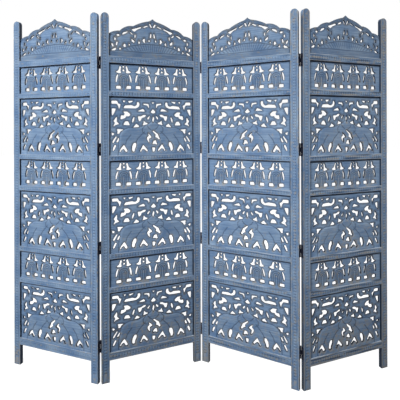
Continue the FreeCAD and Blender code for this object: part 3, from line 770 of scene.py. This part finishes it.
def arch_carving():
    """The arch board's grid. The scratched arches are rings about each arch's spring point, and upright
    lines below it, so a point's ring is its distance to the axis below the spring and to the spring point
    above it."""
    axes = OPENING / 2 + ARCH_PITCH * (np.arange(ARCHES) - (ARCHES - 1) / 2)
    turn = np.linspace(0, 2 * np.pi, PEEPHOLE_SIDES, endpoint=False)
    holes = []
    for axis in axes:
        for outline in (HAUNCH, SLIT, WINDOW):
            for side in (1, -1):
                holes.append(smooth_curve([(axis + side * x, y) for x, y in outline], True))
        for level, radius in PEEPHOLES:
            holes.append(np.stack([axis + radius * np.cos(turn), level + radius * np.sin(turn)], 1))
    points, distance, triangles = sawn_grid(ARCH_FIELD + BOARD_OVERLAP, holes)
    beside = np.abs(points[:, :1] - axes).min(1)
    ring = np.hypot(beside, np.maximum(points[:, 1] - ARCH_SPRING, 0))
    lines = np.max([bell(ring - line, ARCH_LINE_WIDTH) for line in ARCH_LINES], axis=0)
    lines = lines * eased((points[:, 1] - ARCH_LINE_FOOT) / ARCH_FADE) * (distance > ARCH_LINE_CLEAR)
    step = quirk(points, ARCH_FIELD)
    half = knife_rounded(distance) - ARCH_LINE_DEPTH * lines - SHADOW_QUIRK * step
    wear, glaze_and_shade = board_marks(distance, lines, step)
    in_door = eased((DOOR_HALF_WIDTH - ring) / ARCH_FADE)
    return points, triangles, half, wear + DOOR_RUB * (1 - lines) * in_door, glaze_and_shade


pattern, triangles, half, wear, glaze_and_shade = arch_carving()
for panel in PANELS:
    parts = []
    for number, level in enumerate(arch_levels):
        copy = wandered(pattern, ARCH_FIELD, ARCH_NUMBER + FIELDS * panel + number)
        points, faces, taken = two_faced(copy[:, 0] + STILE_WIDTH, copy[:, 1] + level, half, triangles)
        parts.append((points, faces, wear[taken], with_painted_rail_shadow(pattern, ARCH_FIELD, panel, glaze_and_shade)[taken]))
    points, faces, worn, board_dark_marks = joined(parts)
    marks = painted_marks(points, panel, worn, board_dark_marks, CROSS_GRAIN, ARCH_NUMBER + panel)
    boards = make_piece(f"arches_{panel}", points, panel, faces, marks, painted_wood)
    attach(boards, f"panel_{panel}")
    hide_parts(f"panel_{panel}_arch_panels")

# Crests: a scalloped board over each top rail that rises to an ogee point. It is pierced along its rim and
# round a frieze of small elephants, and carved with a rising sun of rays over a plain band.
CREST_NUMBER = 50
CREST_SHOULDER = 110.0
CREST_RISE = 90.0
CREST_DRAWN = 195.0
CREST_SPARE = 3.0
SCALLOP_POINTS = 14
SCALLOPS = [
    ((0.0, 0.0), (0.106, 0.135), (0.241, 0.19)),
    ((0.241, 0.19), (0.366, 0.42), (0.546, 0.5)),
    ((0.546, 0.5), (0.7, 0.69), (0.88, 0.83)),
    ((0.88, 0.83), (0.944, 0.885), (1.0, 1.0)),
]
CREST_SIDE_HOLES = [
    [(64, 108), (72, 119), (90, 124), (92, 121), (80, 113), (68, 107)],
    [(110, 134), (124, 125), (141, 138), (160, 146), (156, 151), (134, 143), (118, 138)],
    [(169, 152), (189, 161), (193, 157), (173, 148)],
    [(198, 169), (205, 169), (213, 156), (211, 151), (206, 153)],
    [(207, 123), (211, 120), (210, 103), (204, 101), (202, 106)],
    [(172, 95), (178, 94), (177, 84), (179, 76), (173, 75), (165, 86)],
    [(147, 83), (153, 75), (150, 69), (143, 70)],
    [(111, 93), (115, 88), (125, 80), (123, 71), (111, 78)],
    [(126, 114), (131, 109), (130, 97), (125, 97)],
    [(104, 124), (118, 112), (113, 110), (104, 118)],
    [(96, 66), (104, 62), (98, 56)],
    [(75, 64), (81, 62), (82, 50), (76, 47), (69, 53)],
    [(54, 44), (60, 38), (52, 33), (50, 38)],
    [(39, 106), (48, 108), (53, 103), (44, 97), (37, 102)],
    [(27, 91), (34, 89), (33, 79), (27, 77)],
    [(38, 72), (43, 69), (39, 53), (33, 55)],
    [(13, 62), (19, 61), (24, 50), (18, 46), (13, 55)],
    [(13, 28), (30, 29), (35, 37), (32, 42), (18, 34)],
    [(198, 93), (203, 87), (201, 81), (195, 83)],
]
SUN_LOW = 31.0
SUN_HIGH = 70.0
SUN_HALF_WIDTH = 169.0
SUN_CENTRE = -70.0
SUN_RAYS = 5.0
SUN_EDGE = 3.0
SUN_LINE_WIDTH = 1.9
SUN_CLEAR = 2.0
BASE_LINE = 3.0
RAY_SHARE = 0.6
RIM_OUTSIDE = 60.0
RIM_LINES = (6.5, 13.0)
RIM_LINE_WIDTH = 1.7
HOLE_LINE = 6.0
HOLE_LINE_WIDTH = 1.6
HOLE_LINE_SHARE = 0.7
FRIEZE_RISE = 0.9
FRIEZE_FROM_EDGE = 3.0
FRIEZE_SLOPE = 10.0
FRIEZE_FROM_RIM = 14.0
NO_RAIL_ABOVE = 1000.0
BAND_BELOW_SUN = 5.0
BAND_EDGE = 4.0
PLAIN_RUB = 0.12
PLAIN_GLAZE = 0.27
CREST_RUB = {1: 0.17, 2: 0.21, 3: 0.15, 4: 0.0}
CREST_GLAZE = {1: 0.0, 2: 0.06, 3: 0.07, 4: 0.0}


def arc_through(start, crown, end):
    """Points of the circle through three points, from the first to the last, which is left out: the centre
    is where the upright bisectors of the two chords meet."""
    start, crown, end = (np.array(point, float) for point in (start, crown, end))
    chords = 2 * np.stack([crown - start, end - start])
    centre = np.linalg.solve(chords, [crown @ crown - start @ start, end @ end - start @ start])
    first, last = (math.atan2(*(point - centre)[::-1]) for point in (start, end))
    turn = (last - first + math.pi) % (2 * math.pi) - math.pi
    angles = first + turn * np.linspace(0, 1, SCALLOP_POINTS, endpoint=False)
    return centre + np.hypot(*(start - centre)) * np.stack([np.cos(angles), np.sin(angles)], 1)


def crest_carving():
    """The crest's grid inside its scalloped rim. Two lines follow the rim at a set distance, the sun is a
    low arc filled with rays that are waves of the angle about a point below it, and the frieze swells away
    from edges."""
    half_width = OPENING / 2
    height = CREST_SHOULDER + CREST_RISE
    scallops = [
        [(across * half_width, CREST_SHOULDER + up * CREST_RISE) for across, up in scallop]
        for scallop in SCALLOPS
    ]
    left = np.concatenate([arc_through(*scallop) for scallop in scallops])
    right = (left * [-1, 1] + [OPENING, 0])[::-1]
    top = np.concatenate([left, [(half_width, height)], right])
    far_right, far_left = OPENING + RIM_OUTSIDE, -RIM_OUTSIDE
    below = [
        (far_right, CREST_SHOULDER),
        (far_right, -RIM_OUTSIDE),
        (far_left, -RIM_OUTSIDE),
        (far_left, CREST_SHOULDER),
    ]
    rim = np.concatenate([top, below])
    taller = [1, height / CREST_DRAWN]
    holes = CREST_SIDE_HOLES + mirrored(CREST_SIDE_HOLES)
    holes = [smooth_curve(hole, True) * taller for hole in holes]
    points, distance, triangles = sawn_grid(height + CREST_SPARE, holes, rim)
    near, gap, _, _ = nearest_on(points, top, False, CARVING_REACH)
    to_rim = np.full(len(points), CARVING_REACH)
    to_rim[near] = gap
    rim_lines = np.max([bell(to_rim - line, RIM_LINE_WIDTH) for line in RIM_LINES], axis=0)
    sagitta = SUN_HIGH - SUN_LOW
    radius = (SUN_HALF_WIDTH**2 + sagitta**2) / (2 * sagitta)
    x, y = points.T
    to_arc = np.hypot(x - half_width, y - (SUN_HIGH - radius)) - radius
    over_base = y > SUN_LOW
    in_sun = eased(-to_arc / SUN_EDGE) * over_base
    angle = np.degrees(np.arctan2(x - half_width, y - SUN_CENTRE))
    rays = in_sun * (0.5 + 0.5 * np.cos(2 * np.pi * angle / SUN_RAYS)) ** 2
    base_line = bell(y - SUN_LOW + BASE_LINE, SUN_LINE_WIDTH)
    arc_line = bell(to_arc, SUN_LINE_WIDTH) * over_base
    round_holes = bell(distance - HOLE_LINE, HOLE_LINE_WIDTH) * (to_arc > SUN_CLEAR)
    cuts = [rim_lines, base_line, arc_line, RAY_SHARE * rays, HOLE_LINE_SHARE * round_holes]
    lines = np.max(cuts, axis=0) * (distance > SCRATCH_CLEAR)
    step = quirk(points, NO_RAIL_ABOVE)
    frieze = eased((distance - FRIEZE_FROM_EDGE) / FRIEZE_SLOPE) * (to_arc > 0) * (to_rim > FRIEZE_FROM_RIM)
    half = knife_rounded(distance) + FRIEZE_RISE * frieze - SCRATCH_DEPTH * lines - SHADOW_QUIRK * step
    wear, glaze_and_shade = board_marks(distance, lines, step)
    plain = eased((SUN_LOW - BAND_BELOW_SUN - y) / BAND_EDGE)
    return points, triangles, half, wear + PLAIN_RUB * plain, np.maximum(glaze_and_shade, PLAIN_GLAZE * plain)


crest_level = top_rail_level + TOP_RAIL
pattern, triangles, half, wear, glaze_and_shade = crest_carving()
for panel in PANELS:
    turned = panel in TURNED_PANELS
    copy = pattern * [-1, 1] + [OPENING, 0] if turned else pattern
    order = triangles[:, ::-1] if turned else triangles
    points, faces, taken = two_faced(copy[:, 0] + STILE_WIDTH, copy[:, 1] + crest_level, half, order)
    worn, board_dark_marks = wear[taken] + CREST_RUB[panel], glaze_and_shade[taken] + CREST_GLAZE[panel]
    marks = painted_marks(points, panel, worn, board_dark_marks, CROSS_GRAIN, CREST_NUMBER + panel)
    crest = make_piece(f"crest_{panel}", points, panel, faces, marks, painted_wood)
    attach(crest, f"panel_{panel}")
    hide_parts(f"panel_{panel}_crest")

# Hinges: four pressed butt hinges of blackened steel at each joint. A leaf is bent from one strip, a plate
# screwed on the stile's edge and knuckles rolled round a pin. They sit behind the first and third joints and
# before the second, so that the screen folds flat in a zigzag.
HINGE_ABOVE_RAIL = 30.0
LEAF_THICK = 0.9
LEAF_FROM_PIN = 1.5
LEAF_NECK = 2.61
LEAF_REACH = 20.2
HINGE_HALF = 30.0
KNUCKLE_PITCH = 20.1
KNUCKLE_HALF = 9.9
ROLL_END = -325
ROLL_STEPS = 16
SCREW_LEVELS = (-18.0, 18.0)
SCREW_SIDES = 12
SLOT_HALF_WIDTH = 0.7
SLOT_DEPTH = 0.8
HEAD_LEVEL = 1.0
PIN_SIDES = 14
PIN_PROFILE = [(0.4, -30.0), (0.8, -29.8), (1.0, -29.4), (1.0, 29.4), (0.8, 29.8), (0.4, 30.0)]
SCREW_PROFILE = [(1.2, 0.95), (2.4, 0.95), (2.75, 1.1), (1.45, 2.0), (1.45, 11.0), (0.3, 14.4)]
GLOSS_SPREAD = 0.12
hinge_levels = np.append(elephant_levels + HINGE_ABOVE_RAIL, top_rail_level)


def dull_metal(name, colour, roughness):
    """Dark metal, slightly uneven in gloss from handling, in patches of about 5 mm."""
    material, tree, shader = new_material(name)
    shader.inputs["Base Color"].default_value = linear(colour)
    shader.inputs["Metallic"].default_value = 0.8
    place = add_node(tree, "TexCoord", {}, {})
    patches = add_node(tree, "TexNoise", {"Scale": 200.0}, {"Vector": (place, "Object")})
    gloss = add_node(
        tree,
        "MapRange",
        {"To Min": roughness - GLOSS_SPREAD, "To Max": roughness + GLOSS_SPREAD},
        {"Value": (patches, "Fac")},
    )
    tree.links.new(gloss.outputs["Result"], shader.inputs["Roughness"])
    return material


blackened_steel = dull_metal("blackened_steel", "#2e3142", 0.55)
screw_steel = dull_metal("screw_steel", "#6f6c68", 0.42)


def bent_strip(path, low, high):
    """Sheet steel bent along a flat path: at each station its two sides lie half a thickness off the path,
    square to it, and its edges at the low and high level."""
    path = np.array(path, float)
    along = np.gradient(path, axis=0)
    off = np.stack([along[:, 1], -along[:, 0]], 1) * LEAF_THICK / 2 / np.hypot(*along.T)[:, None]
    corners = ((path + off, low), (path + off, high), (path - off, high), (path - off, low))
    points = np.stack([np.column_stack([place, np.full(len(path), level)]) for place, level in corners], 1)
    start = 4 * np.arange(len(path) - 1)[:, None]
    corner, following = np.arange(4), np.roll(np.arange(4), -1)
    sides = np.stack([start + corner, start + corner + 4, start + following + 4, start + following], -1)
    ends = np.array([corner, corner[::-1] + 4 * (len(path) - 1)])
    return points.reshape(-1, 3), [sides.reshape(-1, 4), ends]


def turned_on_lathe(profile, sides):
    """A profile of radius and height turned about the upright axis, with a flat cap at each end."""
    angle = np.linspace(0, 2 * np.pi, sides, endpoint=False)
    radius, height = np.array(profile, float).T
    rings = [radius[:, None] * np.cos(angle), radius[:, None] * np.sin(angle), height[:, None] + 0 * angle]
    start = sides * np.arange(len(radius) - 1)[:, None]
    corner, following = np.arange(sides), np.roll(np.arange(sides), -1)
    low, high = [start + corner, start + following], [start + following + sides, start + corner + sides]
    walls = np.stack(low + high, -1)
    caps = np.array([corner[::-1], corner + sides * (len(radius) - 1)])
    return np.stack(rings, -1).reshape(-1, 3), [walls.reshape(-1, 4), caps]


def facing_out(points, groups):
    """The faces turned so that the mesh holds a positive volume: the sum of the cones from its middle to its
    faces."""
    centred = points - points.mean(0)
    volume = 0.0
    for group in groups:
        for corner in range(1, group.shape[1] - 1):
            a, b, c = centred[group[:, 0]], centred[group[:, corner]], centred[group[:, corner + 1]]
            volume += (a * np.cross(b, c)).sum()
    return groups if volume > 0 else [group[:, ::-1] for group in groups]


def by_the_pin(points, right_edge, at_back, level):
    """Points laid out from a hinge pin, x towards the stile that carries the leaf and y into its thickness,
    set at the right or left edge of a panel, behind it or before it, at one level."""
    out = PANEL_WIDTH + PIN_BESIDE_EDGE - points[:, 0] if right_edge else points[:, 0] - PIN_BESIDE_EDGE
    through = PIN_FROM_MIDDLE - points[:, 1] if at_back else points[:, 1] - PIN_FROM_MIDDLE
    return np.stack([out, through, points[:, 2] + level], 1)


roll = np.radians(np.linspace(0, ROLL_END, ROLL_STEPS))
knuckle_path = [(LEAF_FROM_PIN, LEAF_NECK), *(LEAF_FROM_PIN * np.stack([np.cos(roll), np.sin(roll)], 1))]
plate = bent_strip([(LEAF_FROM_PIN, LEAF_REACH), (LEAF_FROM_PIN, LEAF_NECK)], -HINGE_HALF, HINGE_HALF)
knuckles = {
    place: bent_strip(
        knuckle_path, KNUCKLE_PITCH * place - KNUCKLE_HALF, KNUCKLE_PITCH * place + KNUCKLE_HALF
    )
    for place in (-1, 0, 1)
}
screw_points, screw_faces = turned_on_lathe(SCREW_PROFILE, SCREW_SIDES)
in_slot = (np.abs(screw_points[:, 1]) < SLOT_HALF_WIDTH) & (screw_points[:, 2] < HEAD_LEVEL)
screw_points[:, 2] += SLOT_DEPTH * in_slot
leaf_middle = (LEAF_NECK + LEAF_REACH) / 2
screws = [(screw_points[:, ::-1] + [0, leaf_middle, level], screw_faces) for level in SCREW_LEVELS]
pins = [turned_on_lathe(PIN_PROFILE, PIN_SIDES)]


def add_hinge_parts(name, node, slot, parts, panel, right_edge, at_back, material):
    """One kind of hinge part at all four levels of a joint, as one piece that rides on a panel."""
    placed = [
        (by_the_pin(points, right_edge, at_back, level), groups)
        for level in hinge_levels
        for points, groups in parts
    ]
    points, groups = joined(placed)
    piece = make_piece(name, points, panel, facing_out(points, groups), {}, material)
    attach(piece, f"panel_{panel}")
    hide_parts(node)


for joint, left, right, at_back in (("1_2", 1, 2, True), ("2_3", 2, 3, False), ("3_4", 3, 4, True)):
    for side, panel, places in (("left", left, (-1, 1)), ("right", right, (0,))):
        leaf = [plate] + [knuckles[place] for place in places]
        edge = (panel, side == "left", at_back)
        node = f"hinge_{joint}_{side}"
        name = f"{joint}_{side}"
        add_hinge_parts(f"leaves_{name}", f"{node}_leaves", "hinge_steel", leaf, *edge, blackened_steel)
        add_hinge_parts(f"screws_{name}", f"{node}_screws", "screw_steel", screws, *edge, screw_steel)
    pin_edge = (left, True, at_back)
    add_hinge_parts(f"pins_{joint}", f"hinge_{joint}_pins", "hinge_steel", pins, *pin_edge, blackened_steel)

# Nails: a small round-headed nail at each end of each rail, driven from the front through the rail and its
# tenon. Their heads stand a little proud of the paint and have gone dark.
NAIL_FROM_STILE = 10.5
NAIL_SIDES = 10
NAIL_PROFILE = [(1.7, -0.6), (1.7, 0.1), (1.2, 0.45), (0.5, 0.6)]
rail_middles = np.concatenate(
    [[FOOT + BOTTOM_RAIL / 2], cross_rail_levels + CROSS_RAIL / 2, [top_rail_level + TOP_RAIL / 2]]
)
nail_points, nail_faces = turned_on_lathe(NAIL_PROFILE, NAIL_SIDES)
across, up, out = nail_points.T
nails = [
    (np.stack([across + beside, -HALF_FRAME - out, up + level], 1), nail_faces)
    for level in rail_middles
    for beside in (STILE_WIDTH + NAIL_FROM_STILE, PANEL_WIDTH - STILE_WIDTH - NAIL_FROM_STILE)
]
points, groups = joined(nails)
for panel in PANELS:
    heads = make_piece(f"nails_{panel}", points, panel, facing_out(points, groups), {}, blackened_steel)
    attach(heads, f"panel_{panel}")

# Floor, light and camera. The screen stands on a pale floor in a white studio, lit by a strong lamp high on
# the left in front, one behind and weaker ones at the right and overhead. The camera looks level along the
# depth of the room, with the picture shifted down to take in the feet.
CAMERA_PLACE = (0.0144, -1.897, 1.2207)
CAMERA_ROLL = 0.16
PICTURE_SIDE = 400
FOCAL_PIXELS = 381.4
HORIZON_ROW = 128.6
MIDDLE_COLUMN = 201.3
SENSOR = 36.0
STUDIO_LIGHT = 0.16

floor_mesh = bpy.data.meshes.new("floor")
floor_mesh.from_pydata([(-9, -6, 0), (9, -6, 0), (9, 30, 0), (-9, 30, 0)], [], [(0, 1, 2, 3)])
floor = bpy.data.objects.new("floor", floor_mesh)
bpy.context.collection.objects.link(floor)


def seen_rays(tree):
    """The light path, and whether a ray comes from the camera or off a gloss, as the greater of the two."""
    path = add_node(tree, "LightPath", {}, {})
    kinds = {0: (path, "Is Camera Ray"), 1: (path, "Is Glossy Ray")}
    return path, add_node(tree, "Math", {"operation": "MAXIMUM"}, kinds)


pale, tree, shader = new_material("pale_studio_floor")
tree.nodes.remove(shader)
_, seen = seen_rays(tree)
matt_floor = add_node(tree, "BsdfDiffuse", {"Color": linear("#5c5c5c")}, {})
# Seen by the camera, the floor is white, and takes the shadow within about two metres of the screen
place = add_node(tree, "TexCoord", {}, {})
away = add_node(tree, "VectorMath", {"operation": "LENGTH"}, {0: (place, "Object")})
beyond = add_node(
    tree,
    "MapRange",
    {"interpolation_type": "SMOOTHSTEP", "From Min": 1.1, "From Max": 2.2, "To Min": 0.88, "To Max": 1.0},
    {"Value": (away, "Value")},
)
glow = add_node(tree, "Emission", {"Color": (1, 1, 1, 1)}, {"Strength": (beyond, "Result")})
half_lit = add_node(tree, "BsdfDiffuse", {"Color": linear("#a0a0a0")}, {})
seen_floor = add_node(tree, "AddShader", {}, {0: (glow, 0), 1: (half_lit, 0)})
mixed = add_node(tree, "MixShader", {}, {0: (seen, 0), 1: (matt_floor, 0), 2: (seen_floor, 0)})
tree.links.new(mixed.outputs[0], tree.nodes["Material Output"].inputs["Surface"])
floor_mesh.materials.append(pale)

world = bpy.data.worlds.new("white_studio")
bpy.context.scene.world = world
world.use_nodes = True
tree = world.node_tree
path, seen = seen_rays(tree)
through = {0: (seen, 0), 1: (path, "Is Transmission Ray")}
seen_through = add_node(tree, "Math", {"operation": "MAXIMUM"}, through)
strength = add_node(
    tree, "MapRange", {"To Min": STUDIO_LIGHT, "To Max": 1.0}, {"Value": (seen_through, 0)}
)
sky = tree.nodes["Background"]
sky.inputs["Color"].default_value = (1, 1, 1, 1)
tree.links.new(strength.outputs["Result"], sky.inputs["Strength"])

for name, place, aim, side, beam, colour, power in (
    ("key_softbox", (-3.0, -3.1, 2.7), (-0.15, 0.0, 0.95), 1.15, 90, (0.97, 1.0, 1.0), 52),
    ("fill_softbox", (2.1, -1.7, 1.7), (0.65, 0.0, 1.05), 1.0, 100, (1.0, 0.95, 0.88), 7.0),
    ("top_softbox", (0.0, -1.1, 3.3), (0.0, -1.1, 0.0), 1.2, 80, (1.0, 0.98, 0.95), 6.6),
    ("back_softbox", (1.6, 3.4, 2.6), (0.0, 0.0, 1.0), 1.2, 120, (1.0, 1.0, 1.0), 45),
):
    lamp = bpy.data.lights.new(name, "AREA")
    lamp.size = side
    lamp.spread = math.radians(beam)
    lamp.color = colour
    lamp.energy = power
    softbox = bpy.data.objects.new(name, lamp)
    softbox.location = place
    towards = np.array(aim) - np.array(place)
    softbox.rotation_euler = (
        math.atan2(math.hypot(towards[0], towards[1]), -towards[2]),
        0,
        math.atan2(-towards[0], towards[1]),
    )
    bpy.context.collection.objects.link(softbox)

camera_data = bpy.data.cameras.new("camera")
camera_data.sensor_width = SENSOR
camera_data.lens = SENSOR * FOCAL_PIXELS / PICTURE_SIDE
camera_data.shift_x = (PICTURE_SIDE / 2 - MIDDLE_COLUMN) / PICTURE_SIDE
camera_data.shift_y = (HORIZON_ROW - PICTURE_SIDE / 2) / PICTURE_SIDE
camera = bpy.data.objects.new("camera", camera_data)
camera.location = CAMERA_PLACE
camera.rotation_euler = (math.pi / 2, math.radians(CAMERA_ROLL), 0)
bpy.context.collection.objects.link(camera)
bpy.context.scene.camera = camera
bpy.context.scene.view_settings.view_transform = "Standard"
